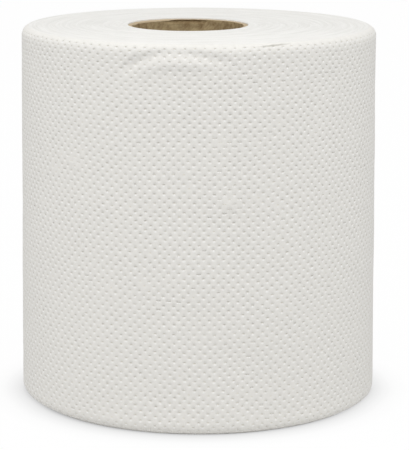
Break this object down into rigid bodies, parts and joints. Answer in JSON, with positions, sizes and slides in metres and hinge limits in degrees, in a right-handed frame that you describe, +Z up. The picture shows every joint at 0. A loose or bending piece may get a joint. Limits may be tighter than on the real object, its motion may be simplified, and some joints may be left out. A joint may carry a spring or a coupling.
{
  "type": "paper towel roll",
  "caption": "Thick roll of white embossed paper towel wound on an off-centre cardboard core, standing on its end.",
  "frame": {"origin": "middle of the roll's base, on the axis of its outer wall", "axes": "+Z up along the roll, -Y towards the front as pictured, and the core wound off centre towards -X"},
  "size_m": [0.1887, 0.189, 0.2],
  "materials": {
    "paper": "soft matt embossed tissue",
    "cardboard": "matt brown board"
  },
  "bodies": {
    "root": {"paper_roll": "paper", "core": "cardboard"}
  },
  "joints": []
}
